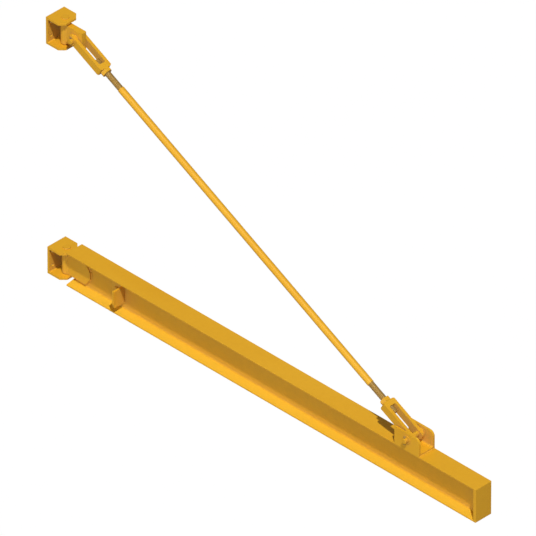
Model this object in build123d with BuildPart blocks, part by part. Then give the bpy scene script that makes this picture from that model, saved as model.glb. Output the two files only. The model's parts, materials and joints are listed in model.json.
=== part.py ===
"""Wall-mounted, tie-rod-supported jib boom, built as separate named pieces.

Axes: +X out along the boom from the wall, +Y to the left along the wall, +Z up.
Origin: centre of the lower wall bracket's back face.  Wall plane X = 0.
All lengths in millimetres.
"""
import os
from math import atan2, cos, sin, sqrt

from build123d import *

# ---------------------------------------------------------------- dimensions
# wall brackets: two identical heavy C plates with square outer corners
BRACKET_SPACING = 1066.8
BRACKET_W = 97.0
BRACKET_D = 88.0
BRACKET_H = 124.0
BRACKET_T = 9.5
BRACKET_OUTER_R = 1.5
BRACKET_INNER_R = 4.0
BRACKET_CORNER = 22.0
BRACKET_EDGE = 0.8
WALL_HOLE_D = 13.5
WALL_HOLE_DY = 60.0
WALL_HOLE_DZ = 56.0

# pivots: vertical pins in the brackets, tube hubs with sleeve bearings
PIVOT_X = 57.0
PIVOT_D = 19.0
PIVOT_HEAD_D = 30.0
PIVOT_HEAD_T = 5.0
PIVOT_TAIL = 14.5
PIVOT_CLEARANCE = 0.15
PIVOT_WASHER_D = 34.0
PIVOT_WASHER_BORE_D = 19.6
HUB_D = 38.0
HUB_BORE_D = 25.4
HUB_HALF = 50.0
HUB_EDGE = 0.8
SLEEVE_BORE_D = 19.1
SLEEVE_L = 24.0
THRUST_BORE_D = 20.0
THRUST_T = 2.3
THRUST_D = 37.0

# boom: tapered-flange I section
BEAM_DEPTH = 152.4
BEAM_W = 84.6
WEB_T = 5.9
FLANGE_TOE_T = 5.8
FLANGE_SLOPE = 1.0 / 6.0
ROOT_R = 7.5
TOE_R = 2.5
BEAM_X0 = 97.0
BEAM_X1 = 2281.3
COPE_X1 = 110.5
COPE_HALF = 63.4
END_PLATE_T = 12.7
END_PLATE_EDGE = 0.8

# hinge plates welded on each side of the web, their outboard corners cut away
HINGE_T = 9.5
HINGE_X1 = 195.0
HINGE_HALF = 50.0
HINGE_CUT_X = 26.0
HINGE_CUT_Z = 35.0

# inner trolley stops: equal angles bolted through the web
STOP_X = 377.0
STOP_LEG = 63.5
STOP_T = 7.9
STOP_Z0 = -33.2
STOP_Z1 = 43.0
STOP_INNER_R = 6.0
STOP_TIP_R = 3.0
STOP_CLIP_Y = 6.0
STOP_CLIP_Z = 18.0
STOP_BOLT_X = 341.0
STOP_BOLT_Z = (-17.0, 16.0)
STOP_BOLT_D = 12.7
STOP_HOLE_D = 13.6
STOP_HEX_AF = 19.0
STOP_HEAD_T = 8.0
STOP_NUT_T = 11.0
STOP_BOLT_TAIL = 3.0
HEX_EDGE = 1.0

# tie-rod bracket: upright U on the top flange
TIE_X0 = 1862.0
TIE_X1 = 1993.0
TIE_LEG_T = 9.0
TIE_BASE_T = 9.0
TIE_LEG_H = 78.0
TIE_ROUND_R = 22.0
TIE_BACK_R = 4.0
TIE_INNER_R = 8.0

# upper swivel lug
LUG_T = 25.0
LUG_X1 = 157.0
LUG_HALF = 40.0
LUG_EDGE = 1.0

# clevises and their pins
UPPER_PIN = (121.0, 1066.8)
LOWER_PIN = (1928.0, 125.1)
CLEVIS_W = 57.8
CLEVIS_PRONG_T = 13.3
CLEVIS_DEPTH = 35.0
CLEVIS_NOSE = 24.0
CLEVIS_REACH = 167.0
CLEVIS_BLOCK = 24.0
CLEVIS_NOSE_R = 16.0
CLEVIS_OUTER_R = 8.0
CLEVIS_INNER_R = 5.0
CLEVIS_BORE_D = 26.0
CLEVIS_PIN_D = 22.0
CLEVIS_HOLE_D = 22.3
CLEVIS_HEAD_D = 30.0
CLEVIS_HEAD_T = 6.0
CLEVIS_WASHER_D = 36.0
CLEVIS_WASHER_BORE_D = 23.0

# tie rod
ROD_D = 28.5
ROD_EDGE = 0.9
THREAD_D = 25.4
THREAD_EDGE = 2.0
THREAD_TIP = 114.0
THREAD_RUN = 264.0
JAM_NUT_AF = 38.0
JAM_NUT_T = 16.0
JAM_NUT_GAP = 0.5
JAM_NUT_EDGE = (1.4, 2.4)

# pins, washers and cotters
PIN_POINT = 1.5
PIN_HEAD_R = 1.2
WASHER_T = 2.5
COTTER_D = 4.0
COTTER_HOLE_D = 4.4
COTTER_LEG_D = 3.2
COTTER_LEG_L = 8.8
COTTER_SPLAY = 35.0
COTTER_EYE_WIRE_D = 3.6
COTTER_EYE_RISE = 3.2
PIVOT_COTTER_DROP = 4.5
PIVOT_COTTER_REACH = 12.5
UPPER_CLEVIS_TAIL = 9.5
LOWER_CLEVIS_TAIL = 14.5
CLEVIS_COTTER_INSET = 5.0
CLEVIS_COTTER_REACH = 14.0

# reach of the corner selectors below, not a size of the part
NEAR = 0.1

# ------------------------------------------------------------ derived values
BEAM_HALF = BEAM_DEPTH / 2
ROD_DX = LOWER_PIN[0] - UPPER_PIN[0]
ROD_DZ = LOWER_PIN[1] - UPPER_PIN[1]
ROD_LENGTH = sqrt(ROD_DX ** 2 + ROD_DZ ** 2)
ROD_TILT = atan2(-ROD_DZ, ROD_DX)
ALONG = (cos(ROD_TILT), 0.0, -sin(ROD_TILT))
BACK = (-cos(ROD_TILT), 0.0, sin(ROD_TILT))
ACROSS = (sin(ROD_TILT), 0.0, cos(ROD_TILT))
TIE_INNER = BEAM_W / 2 - TIE_LEG_T


def rod_plane(distance):
    """Plane square to the tie rod, this far down the rod from the upper pin."""
    origin = (
        UPPER_PIN[0] + ALONG[0] * distance,
        0.0,
        UPPER_PIN[1] + ALONG[2] * distance,
    )
    return Plane(origin=origin, x_dir=(0, 1, 0), z_dir=ALONG)


def side_plane(x, y, z):
    """Plane square to Y at a point, facing +Y."""
    return Plane(origin=(x, y, z), x_dir=(-1, 0, 0), z_dir=(0, 1, 0))


def save(part, label):
    part.label = label
    export_step(part, f"parts/{label}.step")


# ------------------------------------------------------------ piece builders
def wall_bracket(label, zc):
    plane = Plane(origin=(0, 0, zc), x_dir=(1, 0, 0), z_dir=(0, -1, 0))
    with BuildPart() as bracket:
        with BuildSketch(plane) as section:
            with Locations((BRACKET_D / 2, 0)):
                Rectangle(BRACKET_D, BRACKET_H)
            outer = section.vertices().group_by(Axis.X)[0]
            fillet(outer, radius=BRACKET_OUTER_R)
            with Locations(((BRACKET_D + BRACKET_T) / 2, 0)):
                Rectangle(BRACKET_D - BRACKET_T, BRACKET_H - 2 * BRACKET_T, mode=Mode.SUBTRACT)
            inner = section.vertices().filter_by_position(
                Axis.X, BRACKET_T - NEAR, BRACKET_T + NEAR
            )
            fillet(inner, radius=BRACKET_INNER_R)
        extrude(amount=BRACKET_W / 2, both=True)
        front = bracket.edges().filter_by(Axis.Z).group_by(Axis.X)[-1]
        chamfer(front, length=BRACKET_CORNER)
        with BuildSketch(Plane.XY.offset(zc)):
            with Locations((PIVOT_X, 0)):
                Circle(PIVOT_D / 2 + PIVOT_CLEARANCE)
        extrude(amount=BRACKET_H, both=True, mode=Mode.SUBTRACT)
        with BuildSketch(Plane(origin=(0, 0, zc), x_dir=(0, 1, 0), z_dir=(1, 0, 0))):
            with GridLocations(WALL_HOLE_DY, WALL_HOLE_DZ, 2, 2):
                Circle(WALL_HOLE_D / 2)
        extrude(amount=BRACKET_T, mode=Mode.SUBTRACT)
        broad = bracket.faces().filter_by(Axis.Z).group_by(SortBy.AREA)[-1]
        chamfer(broad.edges().filter_by(Axis.Y).group_by(Axis.X)[-1], length=BRACKET_EDGE)
    save(bracket.part, label)


def headed_pin(label, plane, diameter, head_d, head_t, length, cotter_at, cotter_dir):
    """Pin from the underside of its head (plane origin) along the plane normal."""
    axis = Axis(origin=plane.origin, direction=plane.z_dir)
    with BuildPart() as pin:
        with BuildSketch(plane):
            Circle(diameter / 2)
        extrude(amount=length)
        chamfer(pin.faces().sort_by(axis)[-1].edges(), length=PIN_POINT)
        with BuildSketch(plane):
            Circle(head_d / 2)
        extrude(amount=-head_t)
        fillet(pin.faces().sort_by(axis)[0].edges(), radius=PIN_HEAD_R)
        centre = plane.origin + plane.z_dir * cotter_at
        with BuildSketch(Plane(origin=centre, z_dir=cotter_dir)):
            Circle(COTTER_HOLE_D / 2)
        extrude(amount=diameter, both=True, mode=Mode.SUBTRACT)
    save(pin.part, label)


def cotter(label, centre, direction, reach):
    """Split cotter through a pin: eye on one side, two bent legs on the other."""
    wire = COTTER_D / 2
    plane = Plane(origin=centre, x_dir=(-1, 0, 0), z_dir=direction)
    eye_centre = plane.origin - plane.z_dir * (reach + COTTER_EYE_RISE)
    eye_plane = Plane(origin=eye_centre, x_dir=direction, z_dir=(1, 0, 0))
    with BuildPart(plane) as split:
        Cylinder(wire, 2 * reach)
        with Locations((0, 0, reach - wire)):
            for turn in (COTTER_SPLAY, -COTTER_SPLAY):
                Cylinder(
                    COTTER_LEG_D / 2,
                    COTTER_LEG_L,
                    rotation=(0, turn, 0),
                    align=(Align.CENTER, Align.CENTER, Align.MIN),
                )
        with BuildSketch(eye_plane):
            with Locations((COTTER_D, 0)):
                Circle(COTTER_EYE_WIRE_D / 2)
        revolve(axis=Axis(origin=eye_centre, direction=eye_plane.y_dir))
    save(split.part, label)


def rings_up(label, outer_d, inner_d, spans):
    """Rings about the pivot axis, one per (bottom, top) pair."""
    with BuildPart() as rings:
        for bottom, top in spans:
            with BuildSketch(Plane.XY.offset(bottom)):
                with Locations((PIVOT_X, 0)):
                    Circle(outer_d / 2)
                    Circle(inner_d / 2, mode=Mode.SUBTRACT)
            extrude(amount=top - bottom)
    save(rings.part, label)


def rings_across(label, centre, outer_d, inner_d, spans):
    """Rings about a cross pin, one per (start, end) pair in Y."""
    with BuildPart() as rings:
        for start, end in spans:
            with BuildSketch(side_plane(centre[0], start, centre[1])):
                Circle(outer_d / 2)
                Circle(inner_d / 2, mode=Mode.SUBTRACT)
            extrude(amount=end - start)
    save(rings.part, label)


def hub(label, zc):
    with BuildPart() as tube:
        with BuildSketch(Plane.XY.offset(zc - HUB_HALF)):
            with Locations((PIVOT_X, 0)):
                Circle(HUB_D / 2)
                Circle(HUB_BORE_D / 2, mode=Mode.SUBTRACT)
        extrude(amount=2 * HUB_HALF)
        ends = tube.edges().filter_by(GeomType.CIRCLE)
        rims = ends.filter_by(lambda edge: edge.radius > HUB_D / 2 - NEAR)
        chamfer(rims, length=HUB_EDGE)
    save(tube.part, label)


def hinge_plate(label, side):
    with BuildPart() as plate:
        start = side * WEB_T / 2
        with BuildSketch(side_plane(0, start, 0)) as outline:
            with Locations((-(PIVOT_X + HINGE_X1) / 2, 0)):
                Rectangle(HINGE_X1 - PIVOT_X, 2 * HINGE_HALF)
            for corner in outline.vertices().group_by(Axis.X)[0]:
                along_end = outline.edges().sort_by(Axis.X)[0]
                chamfer(corner, length=HINGE_CUT_Z, length2=HINGE_CUT_X, reference=along_end)
        extrude(amount=side * HINGE_T)
        with BuildSketch(Plane.XY):
            with Locations((PIVOT_X, 0)):
                Circle(HUB_D / 2)
        extrude(amount=HUB_HALF, both=True, mode=Mode.SUBTRACT)
    save(plate.part, label)


def trolley_stop(label, side):
    root = side * WEB_T / 2
    toe = side * (WEB_T / 2 + STOP_LEG)
    skin = side * (WEB_T / 2 + STOP_T)
    with BuildPart() as stop:
        with BuildSketch(Plane.XY.offset(STOP_Z0)) as angle:
            with BuildLine():
                Polyline(
                    (STOP_X, root),
                    (STOP_X, toe),
                    (STOP_X - STOP_T, toe),
                    (STOP_X - STOP_T, skin),
                    (STOP_X - STOP_LEG, skin),
                    (STOP_X - STOP_LEG, root),
                    close=True,
                )
            make_face()
            corner = angle.vertices().sort_by_distance((STOP_X - STOP_T, skin))[0]
            fillet(corner, radius=STOP_INNER_R)
            tips = angle.vertices().sort_by_distance((STOP_X - STOP_T, toe))[0:1]
            tips += angle.vertices().sort_by_distance((STOP_X - STOP_LEG, skin))[0:1]
            fillet(tips, radius=STOP_TIP_R)
        extrude(amount=STOP_Z1 - STOP_Z0)
        with BuildSketch(Plane.YZ.offset(STOP_X)):
            with BuildLine():
                Polyline(
                    (toe, STOP_Z0),
                    (toe - side * STOP_CLIP_Y, STOP_Z0),
                    (toe, STOP_Z0 + STOP_CLIP_Z),
                    close=True,
                )
            make_face()
        extrude(amount=STOP_T, both=True, mode=Mode.SUBTRACT)
        with BuildSketch(side_plane(0, 0, 0)):
            with Locations(*[(-STOP_BOLT_X, height) for height in STOP_BOLT_Z]):
                Circle(STOP_HOLE_D / 2)
        extrude(amount=side * STOP_LEG / 2, mode=Mode.SUBTRACT)
    save(stop.part, label)


def clevis(label, pin, direction):
    """U fork: pin hole at the open end, tapped block at the closed end."""
    plane = Plane(origin=(pin[0], 0, pin[1]), x_dir=direction, z_dir=ACROSS)
    across_pin = Plane(origin=(pin[0], 0, pin[1]), x_dir=direction, z_dir=(0, 1, 0))
    bore = Plane(origin=(pin[0], 0, pin[1]), x_dir=(0, 1, 0), z_dir=direction)
    slot = CLEVIS_W - 2 * CLEVIS_PRONG_T
    mouth = CLEVIS_REACH - CLEVIS_BLOCK
    axis = Axis(origin=plane.origin, direction=plane.x_dir)
    with BuildPart() as fork:
        with BuildSketch(plane) as outline:
            with Locations(((CLEVIS_REACH - CLEVIS_NOSE) / 2, 0)):
                Rectangle(CLEVIS_REACH + CLEVIS_NOSE, CLEVIS_W)
            fillet(outline.vertices().group_by(Axis.X)[-1], radius=CLEVIS_OUTER_R)
            with Locations(((mouth - CLEVIS_NOSE) / 2, 0)):
                Rectangle(mouth + CLEVIS_NOSE, slot, mode=Mode.SUBTRACT)
            inner = outline.vertices().filter_by_position(Axis.X, mouth - NEAR, mouth + NEAR)
            fillet(inner, radius=CLEVIS_INNER_R)
        extrude(amount=CLEVIS_DEPTH / 2, both=True)
        tips = fork.edges().filter_by(Axis.Y).group_by(axis)[0]
        fillet(tips, radius=CLEVIS_NOSE_R)
        with BuildSketch(across_pin):
            Circle(CLEVIS_HOLE_D / 2)
        extrude(amount=CLEVIS_W, both=True, mode=Mode.SUBTRACT)
        with BuildSketch(bore.offset(CLEVIS_REACH)):
            Circle(CLEVIS_BORE_D / 2)
        extrude(amount=-CLEVIS_BLOCK - CLEVIS_INNER_R, mode=Mode.SUBTRACT)
    save(fork.part, label)


def thread_stub(label, start, end, tip_first):
    axis = Axis(origin=rod_plane(0).origin, direction=rod_plane(0).z_dir)
    with BuildPart() as stub:
        with BuildSketch(rod_plane(start)):
            Circle(THREAD_D / 2)
        extrude(amount=end - start)
        faces = stub.faces().sort_by(axis)
        tip = faces[0] if tip_first else faces[-1]
        chamfer(tip.edges(), length=THREAD_EDGE)
    save(stub.part, label)


def jam_nut(label, start):
    corner = JAM_NUT_AF / sqrt(3)
    with BuildPart() as nut:
        with BuildSketch(rod_plane(start)):
            Circle(corner)
        extrude(amount=JAM_NUT_T)
        rims = nut.edges().filter_by(GeomType.CIRCLE)
        chamfer(rims, length=JAM_NUT_EDGE[0], length2=JAM_NUT_EDGE[1])
        with BuildSketch(rod_plane(start)):
            RegularPolygon(radius=corner, side_count=6)
        extrude(amount=JAM_NUT_T, mode=Mode.INTERSECT)
        with BuildSketch(rod_plane(start)):
            Circle(THREAD_D / 2)
        extrude(amount=JAM_NUT_T, mode=Mode.SUBTRACT)
    save(nut.part, label)


os.makedirs("parts", exist_ok=True)

# ------------------------------------------------------------- wall fittings
BRACKET_HALF = BRACKET_H / 2
PIVOT_LENGTH = BRACKET_H + PIVOT_TAIL
for place, zc in (("lower", 0.0), ("upper", BRACKET_SPACING)):
    wall_bracket(f"{place}_wall_bracket", zc)
    top = Plane(origin=(PIVOT_X, 0, zc + BRACKET_HALF), x_dir=(1, 0, 0), z_dir=(0, 0, -1))
    cotter_drop = BRACKET_H + WASHER_T + PIVOT_COTTER_DROP
    headed_pin(
        f"{place}_pivot_pin",
        top,
        PIVOT_D,
        PIVOT_HEAD_D,
        PIVOT_HEAD_T,
        PIVOT_LENGTH,
        cotter_drop,
        (0, 1, 0),
    )
    cotter_centre = (PIVOT_X, 0, zc + BRACKET_HALF - cotter_drop)
    cotter(f"{place}_pivot_cotter", cotter_centre, (0, 1, 0), PIVOT_COTTER_REACH)
    underside = zc - BRACKET_HALF
    rings_up(
        f"{place}_pivot_washer",
        PIVOT_WASHER_D,
        PIVOT_WASHER_BORE_D,
        [(underside - WASHER_T, underside)],
    )
    inside = BRACKET_HALF - BRACKET_T
    rings_up(
        f"{place}_thrust_washers",
        THRUST_D,
        THRUST_BORE_D,
        [(zc - inside, zc - inside + THRUST_T), (zc + inside - THRUST_T, zc + inside)],
    )
    hub("boom_hub" if place == "lower" else "swivel_hub", zc)
    rings_up(
        "boom_hub_sleeves" if place == "lower" else "swivel_hub_sleeves",
        HUB_BORE_D,
        SLEEVE_BORE_D,
        [(zc - HUB_HALF, zc - HUB_HALF + SLEEVE_L), (zc + HUB_HALF - SLEEVE_L, zc + HUB_HALF)],
    )

# ---------------------------------------------------------------------- boom
toe_z = BEAM_HALF - FLANGE_TOE_T
root_z = toe_z - (BEAM_W - WEB_T) / 2 * FLANGE_SLOPE
half_w = BEAM_W / 2
half_t = WEB_T / 2
with BuildPart() as beam:
    with BuildSketch(Plane.YZ.offset(BEAM_X0)) as section:
        with BuildLine():
            Polyline(
                (half_w, BEAM_HALF),
                (half_w, toe_z),
                (half_t, root_z),
                (half_t, -root_z),
                (half_w, -toe_z),
                (half_w, -BEAM_HALF),
                (-half_w, -BEAM_HALF),
                (-half_w, -toe_z),
                (-half_t, -root_z),
                (-half_t, root_z),
                (-half_w, toe_z),
                (-half_w, BEAM_HALF),
                close=True,
            )
        make_face()
        roots = section.vertices().filter_by_position(Axis.X, -half_t - NEAR, half_t + NEAR)
        fillet(roots, radius=ROOT_R)
        toes = section.vertices().filter_by_position(Axis.Y, -toe_z - NEAR, toe_z + NEAR)
        toes = toes.filter_by(lambda corner: abs(corner.X) > half_w - NEAR)
        fillet(toes, radius=TOE_R)
    extrude(amount=BEAM_X1 - BEAM_X0)
    with BuildSketch(Plane.XZ):
        with Locations(((BEAM_X0 + COPE_X1) / 2, 0)):
            Rectangle(COPE_X1 - BEAM_X0, 2 * COPE_HALF)
    extrude(amount=BEAM_W, both=True, mode=Mode.SUBTRACT)
    with BuildSketch(Plane.XZ):
        with Locations(*[(STOP_BOLT_X, height) for height in STOP_BOLT_Z]):
            Circle(STOP_HOLE_D / 2)
    extrude(amount=WEB_T, both=True, mode=Mode.SUBTRACT)
save(beam.part, "boom_beam")

with BuildPart() as end_plate:
    with BuildSketch(Plane.YZ.offset(BEAM_X1)):
        Rectangle(BEAM_W, BEAM_DEPTH)
    extrude(amount=END_PLATE_T)
    chamfer(end_plate.faces().sort_by(Axis.X)[-1].edges(), length=END_PLATE_EDGE)
save(end_plate.part, "end_stop_plate")

hinge_plate("near_hinge_plate", -1)
hinge_plate("far_hinge_plate", 1)
trolley_stop("near_trolley_stop", -1)
trolley_stop("far_trolley_stop", 1)

stop_skin = WEB_T / 2 + STOP_T
with BuildPart() as stop_bolts:
    with BuildSketch(side_plane(0, -stop_skin, 0)):
        with Locations(*[(-STOP_BOLT_X, height) for height in STOP_BOLT_Z]):
            Circle(STOP_BOLT_D / 2)
    extrude(amount=2 * stop_skin + STOP_NUT_T + STOP_BOLT_TAIL)
    chamfer(stop_bolts.faces().group_by(Axis.Y)[-1].edges(), length=PIN_POINT)
    with BuildSketch(side_plane(0, -stop_skin, 0)):
        with Locations(*[(-STOP_BOLT_X, height) for height in STOP_BOLT_Z]):
            RegularPolygon(radius=STOP_HEX_AF / sqrt(3), side_count=6)
    extrude(amount=-STOP_HEAD_T)
    chamfer(stop_bolts.faces().group_by(Axis.Y)[0].edges(), length=HEX_EDGE)
save(stop_bolts.part, "trolley_stop_bolts")

with BuildPart() as stop_nuts:
    with BuildSketch(side_plane(0, stop_skin, 0)):
        with Locations(*[(-STOP_BOLT_X, height) for height in STOP_BOLT_Z]):
            RegularPolygon(radius=STOP_HEX_AF / sqrt(3), side_count=6)
            Circle(STOP_BOLT_D / 2, mode=Mode.SUBTRACT)
    extrude(amount=STOP_NUT_T)
    hex_edges = stop_nuts.faces().group_by(Axis.Y)[-1].edges().filter_by(GeomType.LINE)
    chamfer(hex_edges, length=HEX_EDGE)
save(stop_nuts.part, "trolley_stop_nuts")

with BuildPart() as tie_bracket:
    with BuildSketch(Plane.YZ.offset(TIE_X0)) as channel:
        with Locations((0, BEAM_HALF + TIE_LEG_H / 2)):
            Rectangle(BEAM_W, TIE_LEG_H)
        with Locations((0, BEAM_HALF + TIE_BASE_T + TIE_LEG_H / 2)):
            Rectangle(2 * TIE_INNER, TIE_LEG_H, mode=Mode.SUBTRACT)
        inner = channel.vertices().filter_by_position(
            Axis.Y, BEAM_HALF + TIE_BASE_T - NEAR, BEAM_HALF + TIE_BASE_T + NEAR
        )
        fillet(inner, radius=TIE_INNER_R)
    extrude(amount=TIE_X1 - TIE_X0)
    leg_tops = tie_bracket.edges().filter_by(Axis.Y).group_by(Axis.Z)[-1]
    fillet(leg_tops.group_by(Axis.X)[-1], radius=TIE_ROUND_R)
    back_tops = tie_bracket.edges().filter_by(Axis.Y).group_by(Axis.Z)[-1]
    fillet(back_tops.group_by(Axis.X)[0], radius=TIE_BACK_R)
    with BuildSketch(side_plane(LOWER_PIN[0], 0, LOWER_PIN[1])):
        Circle(CLEVIS_HOLE_D / 2)
    extrude(amount=BEAM_W, both=True, mode=Mode.SUBTRACT)
save(tie_bracket.part, "tie_rod_bracket")

# -------------------------------------------------------------- upper swivel
with BuildPart() as lug:
    with BuildSketch(Plane(origin=(0, 0, UPPER_PIN[1]), x_dir=(1, 0, 0), z_dir=(0, -1, 0))):
        with Locations(((PIVOT_X + LUG_X1) / 2, 0)):
            Rectangle(LUG_X1 - PIVOT_X, 2 * LUG_HALF)
        with Locations((UPPER_PIN[0], 0)):
            Circle(CLEVIS_HOLE_D / 2, mode=Mode.SUBTRACT)
    extrude(amount=LUG_T / 2, both=True)
    with BuildSketch(Plane.XY.offset(UPPER_PIN[1])):
        with Locations((PIVOT_X, 0)):
            Circle(HUB_D / 2)
    extrude(amount=HUB_HALF, both=True, mode=Mode.SUBTRACT)
    chamfer(lug.faces().sort_by(Axis.X)[-1].edges(), length=LUG_EDGE)
save(lug.part, "swivel_lug")

# ------------------------------------------------------- clevises and tie rod
clevis("upper_clevis", UPPER_PIN, ALONG)
clevis("lower_clevis", LOWER_PIN, BACK)

upper_grip = CLEVIS_W / 2
lower_grip = BEAM_W / 2
for place, pin, grip, tail in (
    ("upper", UPPER_PIN, upper_grip, UPPER_CLEVIS_TAIL),
    ("lower", LOWER_PIN, lower_grip, LOWER_CLEVIS_TAIL),
):
    length = 2 * grip + WASHER_T + tail
    headed_pin(
        f"{place}_clevis_pin",
        Plane(origin=(pin[0], grip, pin[1]), x_dir=(1, 0, 0), z_dir=(0, -1, 0)),
        CLEVIS_PIN_D,
        CLEVIS_HEAD_D,
        CLEVIS_HEAD_T,
        length,
        length - CLEVIS_COTTER_INSET,
        (0, 0, 1),
    )
    rings_across(
        f"{place}_clevis_washer",
        pin,
        CLEVIS_WASHER_D,
        CLEVIS_WASHER_BORE_D,
        [(-grip - WASHER_T, -grip)],
    )
    cotter_y = grip - length + CLEVIS_COTTER_INSET
    cotter(f"{place}_clevis_cotter", (pin[0], cotter_y, pin[1]), (0, 0, -1), CLEVIS_COTTER_REACH)

prong_out = CLEVIS_W / 2
prong_in = CLEVIS_W / 2 - CLEVIS_PRONG_T
rings_across(
    "upper_clevis_spacers",
    UPPER_PIN,
    CLEVIS_WASHER_D,
    CLEVIS_WASHER_BORE_D,
    [(-prong_in, -LUG_T / 2), (LUG_T / 2, prong_in)],
)
rings_across(
    "lower_clevis_spacers",
    LOWER_PIN,
    CLEVIS_WASHER_D,
    CLEVIS_WASHER_BORE_D,
    [(-TIE_INNER, -prong_out), (prong_out, TIE_INNER)],
)

with BuildPart() as rod_bar:
    with BuildSketch(rod_plane(THREAD_RUN)):
        Circle(ROD_D / 2)
    extrude(amount=ROD_LENGTH - 2 * THREAD_RUN)
    chamfer(rod_bar.edges().filter_by(GeomType.CIRCLE), length=ROD_EDGE)
save(rod_bar.part, "tie_rod_bar")

thread_stub("upper_threaded_end", THREAD_TIP, THREAD_RUN, True)
thread_stub("lower_threaded_end", ROD_LENGTH - THREAD_RUN, ROD_LENGTH - THREAD_TIP, False)
jam_nut("upper_jam_nut", CLEVIS_REACH + JAM_NUT_GAP)
jam_nut("lower_jam_nut", ROD_LENGTH - CLEVIS_REACH - JAM_NUT_GAP - JAM_NUT_T)
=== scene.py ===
"""Wall-mounted tie-rod jib: paint, plating, welds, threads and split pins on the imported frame.

Everything is in metres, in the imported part's frame: +X out along the boom, +Z up, wall plane X = 0.
"""
import json
import math

import bmesh
import bpy
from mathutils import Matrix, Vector, noise


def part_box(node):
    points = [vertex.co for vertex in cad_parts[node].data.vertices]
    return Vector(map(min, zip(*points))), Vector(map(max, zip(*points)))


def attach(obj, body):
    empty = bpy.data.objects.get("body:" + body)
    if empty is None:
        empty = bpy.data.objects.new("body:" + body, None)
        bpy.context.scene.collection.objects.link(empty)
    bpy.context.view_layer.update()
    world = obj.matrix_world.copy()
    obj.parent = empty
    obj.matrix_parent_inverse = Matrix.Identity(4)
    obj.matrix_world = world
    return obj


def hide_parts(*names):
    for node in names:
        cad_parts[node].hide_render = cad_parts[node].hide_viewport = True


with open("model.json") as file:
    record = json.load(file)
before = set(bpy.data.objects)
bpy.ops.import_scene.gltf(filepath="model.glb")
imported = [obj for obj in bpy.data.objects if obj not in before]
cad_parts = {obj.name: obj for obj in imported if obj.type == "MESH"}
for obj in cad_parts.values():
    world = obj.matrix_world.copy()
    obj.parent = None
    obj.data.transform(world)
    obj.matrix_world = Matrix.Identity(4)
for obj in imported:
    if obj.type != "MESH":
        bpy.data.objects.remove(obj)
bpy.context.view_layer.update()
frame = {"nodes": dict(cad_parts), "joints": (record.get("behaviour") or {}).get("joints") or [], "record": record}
NODES = frame["nodes"]
JOINTS = {joint["name"]: joint for joint in frame["joints"]}

MM = 0.001
UP = Vector((0, 0, 1))
OUTBOARD = Vector((1, 0, 0))

# ------------------------------------------------------------------ sizes
WEB_HALF = 2.95 * MM
WEB_START_X = 110.5 * MM
FLANGE_TOE_T = 5.8 * MM
FLANGE_SLOPE = 1 / 6
HINGE_CUT_X = 26 * MM
HINGE_CUT_Z = 35 * MM
THREAD_PITCH = 3.175 * MM
THREAD_DEPTH = 1.75 * MM
THREAD_CHAMFER = 2.2 * MM
THREAD_STEPS = 36
THREAD_PROFILE = ((0.0, 0.0), (0.10, 0.0), (0.45, 1.0), (0.62, 1.0), (1.0, 0.0))
WELD_STEP = 0.55 * MM
WELD_RIPPLE = 2.4 * MM
WELD_SINK = 0.25 * MM
WELD_SIDES = 7
HINGE_BEAD = 4 * MM
HUB_BEAD = 4.2 * MM
TIE_BEAD = 3.5 * MM
END_BEAD = 5 * MM
HUB_BEAD_INSET = 2 * MM
END_WEB_REACH = 56 * MM
END_FLANGE_START = 9.5 * MM
COTTER_EYE_R = 4.0 * MM
COTTER_HALF_T = 0.95 * MM
COTTER_HALF_W = 1.75 * MM
COTTER_LEG = 8.0 * MM
COTTER_NECK = 2.0 * MM
COTTER_SIDES = 12

# ------------------------------------------------------------------ studio
FLOOR_DEPTH = 4.6
FLOOR_HALF = 70.0
FLOOR_BOUNCE = 0.25
FLOOR_GLOW = 0.88
BACKDROP = 0.985
AMBIENT = 0.18
KEY_LIGHT = 0.80
KEY_FROM = (0.5, -0.346, 1.0)
KEY_SPREAD = 2.0
FILL_LIGHT = 0.345
FILL_FROM = (0.12, -1.0, 0.05)
FILL_SPREAD = 40.0
LENS = 1600.0
SENSOR = 36.0
LOOK_AT = Vector((1.1448, 0.0, 0.5070))
VIEW_UP = math.radians(35.15)
VIEW_WIDTH = 2.0293

# ------------------------------------------------------------------ colours (linear)
YELLOW = (0.79, 0.395, 0.014)
# YELLOW_DEEP is used both for random mottle and as painted shade in corners.
YELLOW_DEEP = (0.64, 0.29, 0.010)
YELLOW_PALE = (0.84, 0.44, 0.022)
# Painted highlight colour for faces tilted a little from level.
SLOPE_HIGHLIGHT = (0.90, 0.56, 0.045)
# Painted shade tint for upright faces in hollows and under ledges.
LEDGE_SHADE = (0.45, 0.27, 0.10)
PRIMER = (0.21, 0.12, 0.055)
PLATING = (0.60, 0.40, 0.13)
PLATING_GREEN = (0.46, 0.42, 0.17)
PLATING_ROSE = (0.62, 0.33, 0.14)
THREAD_GOLD = (0.52, 0.31, 0.065)
# THREAD_DARK is painted shade for hollows in plated and threaded parts.
THREAD_DARK = (0.20, 0.12, 0.035)
BRONZE = (0.52, 0.30, 0.11)
BRONZE_DARK = (0.30, 0.15, 0.05)


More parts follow.
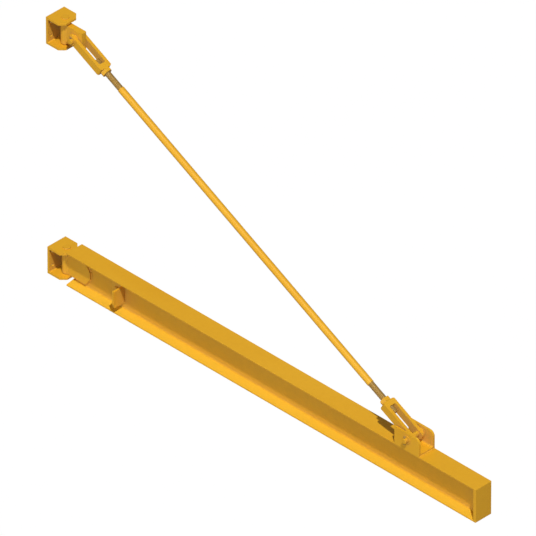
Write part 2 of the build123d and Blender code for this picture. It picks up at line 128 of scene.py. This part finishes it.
# ------------------------------------------------------------------ material helpers
class Graph:
    """A material's node graph, with short calls for the nodes used here."""

    def __init__(self, name):
        self.material = bpy.data.materials.new(name)
        self.material.use_nodes = True
        self.nodes = self.material.node_tree.nodes
        self.links = self.material.node_tree.links
        self.shader = self.nodes["Principled BSDF"]
        self.place = self.nodes.new("ShaderNodeTexCoord").outputs["Object"]

    def link(self, source, target):
        self.links.new(source, target)

    def noise(self, scale, detail=3.0, roughness=0.5, stretch=None):
        node = self.nodes.new("ShaderNodeTexNoise")
        node.inputs["Scale"].default_value = scale
        node.inputs["Detail"].default_value = detail
        node.inputs["Roughness"].default_value = roughness
        source = self.place
        if stretch:
            mapping = self.nodes.new("ShaderNodeMapping")
            mapping.inputs["Scale"].default_value = stretch
            self.link(self.place, mapping.inputs["Vector"])
            source = mapping.outputs["Vector"]
        self.link(source, node.inputs["Vector"])
        return node.outputs["Fac"]

    def ramp(self, value, low, high, out_low=0.0, out_high=1.0):
        node = self.nodes.new("ShaderNodeMapRange")
        node.inputs["From Min"].default_value = low
        node.inputs["From Max"].default_value = high
        node.inputs["To Min"].default_value = out_low
        node.inputs["To Max"].default_value = out_high
        self.link(value, node.inputs["Value"])
        return node.outputs["Result"]

    def math(self, operation, a, b):
        node = self.nodes.new("ShaderNodeMath")
        node.operation = operation
        for socket, value in zip(node.inputs, (a, b)):
            if isinstance(value, (int, float)):
                socket.default_value = value
            else:
                self.link(value, socket)
        return node.outputs["Value"]

    def mix(self, factor, a, b, blend="MIX"):
        node = self.nodes.new("ShaderNodeMix")
        node.data_type = "RGBA"
        node.blend_type = blend
        if isinstance(factor, (int, float)):
            node.inputs["Factor"].default_value = factor
        else:
            self.link(factor, node.inputs["Factor"])
        for socket, value in ((node.inputs["A"], a), (node.inputs["B"], b)):
            if isinstance(value, tuple):
                socket.default_value = (*value, 1.0)
            else:
                self.link(value, socket)
        return node.outputs["Result"]

    def edge(self, radius):
        """0 on flat faces, rising towards sharp outer and inner edges."""
        bevel = self.nodes.new("ShaderNodeBevel")
        bevel.samples = 6
        bevel.inputs["Radius"].default_value = radius
        geometry = self.nodes.new("ShaderNodeNewGeometry")
        dot = self.nodes.new("ShaderNodeVectorMath")
        dot.operation = "DOT_PRODUCT"
        self.link(bevel.outputs["Normal"], dot.inputs[0])
        self.link(geometry.outputs["Normal"], dot.inputs[1])
        return self.ramp(dot.outputs["Value"], 0.995, 0.86)

    def level(self):
        """1 on level faces, up or down, falling to 0 on upright ones."""
        geometry = self.nodes.new("ShaderNodeNewGeometry")
        split = self.nodes.new("ShaderNodeSeparateXYZ")
        self.link(geometry.outputs["Normal"], split.inputs[0])
        return self.math("ABSOLUTE", split.outputs["Z"], 0.0)

    def hollow(self, distance):
        """1 in the open, falling in corners and under ledges."""
        node = self.nodes.new("ShaderNodeAmbientOcclusion")
        node.samples = 6
        node.inputs["Distance"].default_value = distance
        return node.outputs["AO"]

    def bump(self, height, distance, strength, before=None):
        node = self.nodes.new("ShaderNodeBump")
        node.inputs["Distance"].default_value = distance
        node.inputs["Strength"].default_value = strength
        self.link(height, node.inputs["Height"])
        if before is not None:
            self.link(before, node.inputs["Normal"])
        return node.outputs["Normal"]

    def finish(self, colour, roughness, normal, **constants):
        self.link(colour, self.shader.inputs["Base Color"])
        self.link(roughness, self.shader.inputs["Roughness"])
        self.link(normal, self.shader.inputs["Normal"])
        for name, value in constants.items():
            self.shader.inputs[name.replace("_", " ")].default_value = value
        return self.material


def paint(name, shade, waviness, grain_scale, stretch=None):
    """Warm yellow enamel: mottle, orange peel, rubbed edges, painted shade in corners and on upright faces under
    ledges, painted highlights along edges and on gently tilted faces.
    """
    g = Graph(name)
    blotch = g.ramp(g.noise(5.0, 2.0, stretch=stretch), 0.3, 0.7)
    colour = g.mix(blotch, tuple(c * shade for c in YELLOW), tuple(c * shade for c in YELLOW_PALE))
    mottle = g.ramp(g.noise(55.0, 4.0, 0.6), 0.35, 0.75, 0.0, 0.16)
    colour = g.mix(mottle, colour, YELLOW_DEEP)
    # Painted shade: corners and recesses are darkened towards the deep yellow by ambient occlusion.
    corner = g.ramp(g.hollow(0.022), 0.15, 0.85, 0.18, 0.0)
    colour = g.mix(corner, colour, YELLOW_DEEP)
    level = g.level()
    # Painted shade: upright faces in hollows and under ledges are mixed towards a darker brownish tint.
    upright = g.ramp(level, 0.4, 0.9, 1.0, 0.0)
    painted_ledge_shade = g.math("MULTIPLY", upright, g.ramp(g.hollow(0.09), 0.45, 0.95, 0.5, 0.0))
    colour = g.mix(painted_ledge_shade, colour, LEDGE_SHADE)
    # Painted highlight: faces tilted a few degrees from level are made paler.
    painted_slope_highlight = g.math("MULTIPLY", g.ramp(level, 0.90, 0.97), g.ramp(level, 0.992, 0.998, 1.0, 0.0))
    colour = g.mix(g.math("MULTIPLY", painted_slope_highlight, 0.55), colour, SLOPE_HIGHLIGHT)
    rubbed = g.math("MULTIPLY", g.edge(1.3 * MM), g.ramp(g.noise(90.0, 5.0, 0.65), 0.56, 0.66, 0.0, 0.5))
    colour = g.mix(rubbed, colour, PRIMER)
    # Painted highlight: paler yellow along edges.
    painted_edge_highlight = g.math("MULTIPLY", g.edge(2.2 * MM), g.ramp(g.noise(28.0, 3.0), 0.3, 0.7, 0.05, 0.3))
    colour = g.mix(painted_edge_highlight, colour, YELLOW_PALE)
    rough = g.ramp(g.noise(18.0, 3.0), 0.3, 0.7, 0.40, 0.54)
    rough = g.math("ADD", rough, g.math("MULTIPLY", rubbed, 0.3))
    wave = g.bump(g.noise(26.0, 2.0, stretch=stretch), waviness, 0.5)
    peel = g.bump(g.noise(grain_scale, 2.0), 0.12 * MM, 0.35, wave)
    return g.finish(colour, rough, peel, Specular_IOR_Level=0.3)


def plated(name):
    """Yellow-chromate zinc: metallic, with faint green and rose drift, fine turning marks and painted shade in its
    corners.
    """
    g = Graph(name)
    drift = g.ramp(g.noise(70.0, 2.0), 0.35, 0.65)
    colour = g.mix(drift, PLATING, PLATING_GREEN)
    rose = g.ramp(g.noise(110.0, 3.0), 0.5, 0.7, 0.0, 0.7)
    colour = g.mix(rose, colour, PLATING_ROSE)
    # Painted shade: corners and recesses are darkened by ambient occlusion.
    corner = g.ramp(g.hollow(0.006), 0.1, 0.8, 0.5, 0.0)
    colour = g.mix(corner, colour, THREAD_DARK)
    rough = g.ramp(g.noise(240.0, 4.0), 0.3, 0.7, 0.28, 0.46)
    marks = g.bump(g.noise(900.0, 2.0, stretch=(1.0, 5.0, 1.0)), 0.03 * MM, 0.3)
    return g.finish(colour, rough, marks, Metallic=0.6)


def threaded(name):
    """The same plating gone dull on cut thread, with painted shade darkening the thread roots."""
    g = Graph(name)
    drift = g.ramp(g.noise(120.0, 3.0), 0.3, 0.7, 0.0, 0.6)
    colour = g.mix(drift, THREAD_GOLD, PLATING)
    # Painted shade: the thread roots are darkened by ambient occlusion.
    root = g.ramp(g.hollow(0.0016), 0.25, 0.95, 0.7, 0.0)
    colour = g.mix(root, colour, THREAD_DARK)
    rough = g.ramp(g.noise(300.0, 3.0), 0.3, 0.7, 0.36, 0.56)
    tear = g.bump(g.noise(1400.0, 2.0), 0.025 * MM, 0.4)
    return g.finish(colour, rough, tear, Metallic=0.2)


def bronze(name):
    """Turned bearing bronze, darker where handled."""
    g = Graph(name)
    tarnish = g.ramp(g.noise(60.0, 4.0), 0.4, 0.75, 0.0, 0.7)
    colour = g.mix(tarnish, BRONZE, BRONZE_DARK)
    rough = g.ramp(g.noise(200.0, 2.0), 0.3, 0.7, 0.25, 0.42)
    marks = g.bump(g.noise(500.0, 2.0, stretch=(1.0, 1.0, 12.0)), 0.03 * MM, 0.35)
    return g.finish(colour, rough, marks, Metallic=1.0)


MATERIALS = {
    "bracket_paint": paint("bracket_enamel", 1.0, 0.25 * MM, 420.0),
    "boom_paint": paint("boom_enamel", 1.0, 0.5 * MM, 380.0, (0.25, 1.0, 1.0)),
    # The fitting enamel's shade of 1.04 is painted light: a brighter copy of the yellow enamel standing in for
    # stronger light on the fittings.
    "fitting_paint": paint("fitting_enamel", 1.04, 0.3 * MM, 420.0),
    "forging_paint": paint("forging_enamel", 0.97, 0.6 * MM, 300.0),
    "rod_paint": paint("rod_enamel", 1.02, 0.2 * MM, 460.0),
    "hardware_paint": paint("hardware_enamel", 0.96, 0.15 * MM, 520.0),
    "plated_hardware": plated("chromate_zinc"),
    "thread_steel": threaded("dull_thread_shaded_roots"),
    "bearing_bronze": bronze("bearing_bronze"),
}
SLOT_OF = {part["node"]: part["material_slot"] for part in frame["record"]["subparts"]}


def dress_nodes():
    """Gives every CAD node the material of its slot."""
    for node, obj in NODES.items():
        obj.data.materials.clear()
        obj.data.materials.append(MATERIALS[SLOT_OF[node]])


# ------------------------------------------------------------------ mesh helpers
def add_piece(name, verts, faces, slot, body, smooth=True):
    mesh = bpy.data.meshes.new(name)
    mesh.from_pydata([tuple(v) for v in verts], [], faces)
    edit = bmesh.new()
    edit.from_mesh(mesh)
    bmesh.ops.remove_doubles(edit, verts=edit.verts, dist=1e-6)
    bmesh.ops.dissolve_degenerate(edit, edges=edit.edges, dist=1e-6)
    bmesh.ops.recalc_face_normals(edit, faces=edit.faces)
    edit.to_mesh(mesh)
    edit.free()
    if smooth:
        mesh.shade_smooth()
    mesh.materials.append(MATERIALS[slot])
    piece = bpy.data.objects.new(name, mesh)
    bpy.context.scene.collection.objects.link(piece)
    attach(piece, body)
    return piece


def skin(rings, closed_ring=True, caps=True):
    """Vertices and faces joining rings of equal length."""
    count = len(rings[0])
    verts = [point for ring in rings for point in ring]
    faces = []
    spans = count if closed_ring else count - 1
    for row in range(len(rings) - 1):
        for col in range(spans):
            nxt = (col + 1) % count
            a, b = row * count, (row + 1) * count
            faces.append((a + col, a + nxt, b + nxt, b + col))
    if caps:
        faces.append(tuple(range(count - 1, -1, -1)))
        last = (len(rings) - 1) * count
        faces.append(tuple(range(last, last + count)))
    return verts, faces


# ------------------------------------------------------------------ weld beads
def resample(path, step):
    """Points about one step apart along a polyline, with their distance along it."""
    out, travelled = [], 0.0
    for start, end in zip(path, path[1:]):
        run = (end - start).length
        parts = max(1, round(run / step))
        for part in range(parts):
            share = part / parts
            out.append((start.lerp(end, share), travelled + run * share))
        travelled += run
    out.append((path[-1].copy(), travelled))
    return out, travelled


def fillet_bead(name, path, along_a, along_b, leg, slot, body):
    """A rippled fillet weld in the corner that path follows.

    along_a and along_b point away from the corner, one up each joined face. Each is one
    vector, or a function of the point.
    """
    stations, total = resample(path, WELD_STEP)
    rings = []
    for point, distance in stations:
        a = along_a(point) if callable(along_a) else along_a
        b = along_b(point) if callable(along_b) else along_b
        end_gap = min(distance, total - distance)
        dome = math.sqrt(max(0.02, 1 - (1 - min(1.0, end_gap / (leg * 0.9))) ** 2))
        drift = 1 + 0.10 * noise.noise(point * 90 + Vector((leg * 7000, 0, 0)))
        root = point - (a + b) * WELD_SINK
        ring = [root]
        for side in range(WELD_SIDES + 1):
            t = side / WELD_SIDES
            crescent = distance / WELD_RIPPLE + 0.45 * math.sin(math.pi * t)
            ripple = 0.10 * abs(math.sin(math.pi * crescent)) * math.sin(math.pi * t)
            arc_a = 0.55 * math.sin(t * math.pi / 2) + 0.45 * t
            arc_b = 0.55 * math.cos(t * math.pi / 2) + 0.45 * (1 - t)
            reach = leg * drift * dome * (0.94 + ripple)
            ring.append(root + a * (arc_a * reach) + b * (arc_b * reach))
        rings.append(ring)
    return add_piece(name, *skin(rings), slot, body)


def straight(*points):
    return [Vector(point) for point in points]


def weld_hinge_plates():
    """Side plates to the web all round their outline, and to the hub up its outer corners."""
    hub_low, hub_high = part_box("boom_hub")
    centre_x = (hub_low.x + hub_high.x) / 2
    radius = (hub_high.x - hub_low.x) / 2
    for label, side in (("near", -1), ("far", 1)):
        low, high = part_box(f"{label}_hinge_plate")
        across = Vector((0, side, 0))
        web_y = side * WEB_HALF
        outer_y = high.y if side > 0 else low.y
        start_x = WEB_START_X + 3 * MM
        cut_x = high.x - HINGE_CUT_X
        for word, z, up in (("top", high.z, 1), ("bottom", low.z, -1)):
            name = f"weld_{label}_hinge_{word}"
            cut_z = z - up * HINGE_CUT_Z
            path = straight((start_x, web_y, z), (cut_x, web_y, z))
            fillet_bead(name, path, UP * up, across, HINGE_BEAD, "fitting_paint", "boom")
            path = straight((cut_x, web_y, z), (high.x, web_y, cut_z))
            slant = Vector((HINGE_CUT_Z, 0, up * HINGE_CUT_X)).normalized()
            fillet_bead(f"{name}_slant", path, slant, across, HINGE_BEAD, "fitting_paint", "boom")
        end = HINGE_CUT_Z - 1 * MM
        path = straight((high.x, web_y, low.z + end), (high.x, web_y, high.z - end))
        name = f"weld_{label}_hinge_end"
        fillet_bead(name, path, OUTBOARD, across, HINGE_BEAD, "fitting_paint", "boom")
        weld_hub_corner(f"weld_{label}_hinge_hub", centre_x, radius, outer_y, low.z, high.z, "boom")


def weld_hub_corner(name, centre_x, radius, y, low_z, high_z, body):
    """Upright bead where a plate's side meets the round hub."""
    reach = math.sqrt(radius**2 - y**2)
    tangent = Vector((-abs(y), math.copysign(reach, y), 0)) / radius
    x = centre_x + reach
    path = straight((x, y, low_z + HUB_BEAD_INSET), (x, y, high_z - HUB_BEAD_INSET))
    fillet_bead(name, path, OUTBOARD, tangent, HUB_BEAD, "fitting_paint", body)


def weld_lug():
    """Swivel lug to its hub: two upright beads and a short arc above and below."""
    hub_low, hub_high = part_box("swivel_hub")
    low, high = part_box("swivel_lug")
    centre_x = (hub_low.x + hub_high.x) / 2
    radius = (hub_high.x - hub_low.x) / 2
    for label, y in (("near", low.y), ("far", high.y)):
        weld_hub_corner(f"weld_{label}_lug", centre_x, radius, y, low.z, high.z, "upper_swivel")
    spread = math.asin(high.y / radius)
    for word, z, up in (("top", high.z, 1), ("bottom", low.z, -1)):
        path = []
        for part in range(13):
            angle = spread * (part / 6 - 1)
            x = centre_x + radius * math.cos(angle)
            path.append(Vector((x, radius * math.sin(angle), z)))

        def outward(point):
            return Vector((point.x - centre_x, point.y, 0)).normalized()

        name = f"weld_lug_{word}"
        fillet_bead(name, path, UP * up, outward, HUB_BEAD, "fitting_paint", "upper_swivel")


def weld_tie_bracket():
    """U bracket to the top flange across both ends."""
    low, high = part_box("tie_rod_bracket")
    for word, x, way in (("inner", low.x, -1), ("outer", high.x, 1)):
        path = straight((x, low.y + TIE_BEAD, low.z), (x, high.y - TIE_BEAD, low.z))
        name = f"weld_tie_bracket_{word}"
        fillet_bead(name, path, OUTBOARD * way, UP, TIE_BEAD, "fitting_paint", "boom")


def weld_end_plate():
    """End plate to the boom's web and to the inner faces of both flanges."""
    low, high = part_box("end_stop_plate")
    half_w = (high.y - low.y) / 2
    toe_z = high.z - FLANGE_TOE_T

    def flange_z(y):
        return toe_z - (half_w - y) * FLANGE_SLOPE

    for label, side in (("near", -1), ("far", 1)):
        across = Vector((0, side, 0))
        web_y = side * WEB_HALF
        path = straight((low.x, web_y, -END_WEB_REACH), (low.x, web_y, END_WEB_REACH))
        fillet_bead(f"weld_{label}_end_web", path, -OUTBOARD, across, END_BEAD, "boom_paint", "boom")
        for word, up in (("top", 1), ("bottom", -1)):
            inner_y, outer_y = END_FLANGE_START, half_w - 3 * MM
            path = straight(
                (low.x, side * inner_y, up * flange_z(inner_y)),
                (low.x, side * outer_y, up * flange_z(outer_y)),
            )
            name = f"weld_{label}_end_{word}"
            fillet_bead(name, path, -OUTBOARD, UP * -up, END_BEAD, "boom_paint", "boom")


# ------------------------------------------------------------------ threads
def cylinder_span(node, axis):
    """Ends and radius of a tilted CAD cylinder that lies in the X-Z plane."""
    low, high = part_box(node)
    diameter = high.y - low.y
    length = (high.x - low.x - diameter * abs(axis.z)) / abs(axis.x)
    centre = (low + high) / 2
    return centre - axis * (length / 2), length, diameter / 2


def thread(node, tip_first, left_handed):
    """Cut thread over a stub: one helical ribbon with flats at root and crest."""
    axis = Vector(JOINTS["tie_rod_turn"]["axis"]).normalized()
    base, length, radius = cylinder_span(node, axis)
    side = Vector((0, 1, 0))
    rise = axis.cross(side)
    turns = math.ceil(length / THREAD_PITCH) + 2
    rings = []
    for step in range(turns * THREAD_STEPS + 1):
        angle = 2 * math.pi * step / THREAD_STEPS
        if left_handed:
            angle = -angle
        start = (step / THREAD_STEPS - 1) * THREAD_PITCH
        out = side * math.cos(angle) + rise * math.sin(angle)
        ring = []
        for share, height in THREAD_PROFILE:
            z = min(max(start + share * THREAD_PITCH, 0.0), length)
            tip_gap = z if tip_first else length - z
            crest = radius - max(0.0, THREAD_CHAMFER - tip_gap)
            reach = min(radius - THREAD_DEPTH * (1 - height), crest)
            ring.append(base + axis * z + out * reach)
        rings.append(ring)
    verts, faces = skin(rings, closed_ring=False, caps=False)
    for z in (0.0, length):
        first = len(verts)
        root = radius - THREAD_DEPTH
        verts.append(base + axis * z)
        for step in range(THREAD_STEPS):
            angle = 2 * math.pi * step / THREAD_STEPS
            out = side * math.cos(angle) + rise * math.sin(angle)
            verts.append(base + axis * z + out * root)
        for step in range(THREAD_STEPS):
            faces.append((first, first + 1 + step, first + 1 + (step + 1) % THREAD_STEPS))
    piece = add_piece(f"{node}_thread", verts, faces, "thread_steel", "tie_rod", smooth=False)
    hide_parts(node)


# ------------------------------------------------------------------ split pins
def split_pin(node, into, about, body):
    """Half-round wire doubled through the hole, round eye one side, legs bent apart."""
    low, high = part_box(node)
    into, about = Vector(into), Vector(about)
    spread = into.cross(about)
    spans = high - low
    length = abs(spans.dot(into))
    half_len = length / 2
    middle = (low + high) / 2
    head = middle - into * (half_len - COTTER_EYE_R - 2 * COTTER_HALF_T)
    tail = middle + into * (half_len - COTTER_LEG)
    neck = head + into * (COTTER_EYE_R + COTTER_NECK)
    apart = spread * COTTER_HALF_T
    path = [tail + into * 7.2 * MM - spread * 5.0 * MM, tail + into * 2 * MM - spread * 1.8 * MM]
    path += [tail - apart, neck - apart]
    for part in range(17):
        angle = math.radians(20 + 320 * part / 16)
        along, out = COTTER_EYE_R * math.cos(angle), COTTER_EYE_R * math.sin(angle)
        path.append(head + into * along - spread * out)
    path += [neck + apart, tail + apart]
    path += [tail + into * 2 * MM + spread * 1.8 * MM, tail + into * 6.2 * MM + spread * 4.4 * MM]
    rings = []
    for index, point in enumerate(path):
        before = path[max(index - 1, 0)]
        after = path[min(index + 1, len(path) - 1)]
        heading = (after - before).normalized()
        width = heading.cross(about).normalized()
        ring = []
        for part in range(COTTER_SIDES):
            angle = 2 * math.pi * part / COTTER_SIDES
            wide, thick = COTTER_HALF_W * math.cos(angle), COTTER_HALF_T * math.sin(angle)
            ring.append(point + about * wide + width * thick)
        rings.append(ring)
    piece = add_piece(f"{node}_wire", *skin(rings), "plated_hardware", body)
    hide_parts(node)


# ------------------------------------------------------------------ stage, light, camera
def camera_sees(tree, seen, otherwise):
    """A shader that the camera sees one way and the light bouncing about sees another."""
    path = tree.nodes.new("ShaderNodeLightPath")
    blend = tree.nodes.new("ShaderNodeMixShader")
    tree.links.new(path.outputs["Is Camera Ray"], blend.inputs["Fac"])
    tree.links.new(otherwise, blend.inputs[1])
    tree.links.new(seen, blend.inputs[2])
    return blend.outputs["Shader"]


def floor():
    """Wide pale floor far below the boom, as under a jib mounted high on a wall."""
    mesh = bpy.data.meshes.new("floor")
    signs = ((-1, -1), (1, -1), (1, 1), (-1, 1))
    corners = [(x * FLOOR_HALF, y * FLOOR_HALF, -FLOOR_DEPTH) for x, y in signs]
    mesh.from_pydata(corners, [], [(0, 1, 2, 3)])
    g = Graph("pale_floor")
    tint = g.mix(g.ramp(g.noise(0.4, 3.0), 0.3, 0.7), (0.12, 0.12, 0.12), (0.125, 0.125, 0.125))
    rough = g.ramp(g.noise(2.0, 2.0), 0.3, 0.7, 0.85, 0.95)
    g.finish(tint, rough, g.bump(g.noise(40.0, 2.0), 0.2 * MM, 0.1))
    g.shader.inputs["Emission Color"].default_value = (1, 1, 1, 1)
    g.shader.inputs["Emission Strength"].default_value = FLOOR_GLOW
    dull = g.nodes.new("ShaderNodeBsdfDiffuse")
    dull.inputs["Color"].default_value = (FLOOR_BOUNCE, FLOOR_BOUNCE, FLOOR_BOUNCE, 1)
    surface = camera_sees(g.material.node_tree, g.shader.outputs["BSDF"], dull.outputs["BSDF"])
    g.link(surface, g.nodes["Material Output"].inputs["Surface"])
    mesh.materials.append(g.material)
    plane = bpy.data.objects.new("floor", mesh)
    bpy.context.scene.collection.objects.link(plane)


def sun(name, towards, strength, spread_deg, shadows=True):
    lamp = bpy.data.lights.new(name, "SUN")
    lamp.energy = strength
    lamp.use_shadow = shadows
    lamp.angle = math.radians(spread_deg)
    obj = bpy.data.objects.new(name, lamp)
    obj.rotation_mode = "QUATERNION"
    obj.rotation_quaternion = Vector(towards).to_track_quat("Z", "Y")
    bpy.context.scene.collection.objects.link(obj)


def lights():
    """A pale studio: one clear key from high on the right, one broad low fill, soft surroundings."""
    world = bpy.data.worlds.new("studio")
    bpy.context.scene.world = world
    world.use_nodes = True
    tree = world.node_tree
    ambient = tree.nodes["Background"]
    ambient.inputs["Color"].default_value = (1, 1, 1, 1)
    ambient.inputs["Strength"].default_value = AMBIENT
    backdrop = tree.nodes.new("ShaderNodeBackground")
    backdrop.inputs["Color"].default_value = (1, 1, 1, 1)
    backdrop.inputs["Strength"].default_value = BACKDROP
    seen = camera_sees(tree, backdrop.outputs["Background"], ambient.outputs["Background"])
    tree.links.new(seen, tree.nodes["World Output"].inputs["Surface"])
    sun("key", KEY_FROM, KEY_LIGHT * math.pi, KEY_SPREAD)
    sun("fill", FILL_FROM, FILL_LIGHT * math.pi, FILL_SPREAD, shadows=False)
    view = bpy.context.scene.view_settings
    view.view_transform = "Standard"
    view.look = "None"


def camera():
    """Long lens from the front right and above, at nearly equal angles to all three axes."""
    data = bpy.data.cameras.new("camera")
    data.lens = LENS
    data.sensor_width = SENSOR
    data.clip_end = 400.0
    back = Vector((math.cos(VIEW_UP), -math.cos(VIEW_UP), math.sqrt(2) * math.sin(VIEW_UP))).normalized()
    obj = bpy.data.objects.new("camera", data)
    obj.location = LOOK_AT + back * (VIEW_WIDTH * LENS / SENSOR)
    obj.rotation_mode = "QUATERNION"
    obj.rotation_quaternion = (-back).to_track_quat("-Z", "Y")
    bpy.context.scene.collection.objects.link(obj)
    bpy.context.scene.camera = obj


dress_nodes()
weld_hinge_plates()
weld_lug()
weld_tie_bracket()
weld_end_plate()
thread("upper_threaded_end", True, False)
thread("lower_threaded_end", False, True)
split_pin("lower_pivot_cotter", (0, 1, 0), (0, 0, 1), "wall_fittings")
split_pin("upper_pivot_cotter", (0, 1, 0), (0, 0, 1), "wall_fittings")
split_pin("lower_clevis_cotter", (0, 0, -1), (0, 1, 0), "boom")
split_pin("upper_clevis_cotter", (0, 0, -1), (0, 1, 0), "upper_swivel")
floor()
lights()
camera()
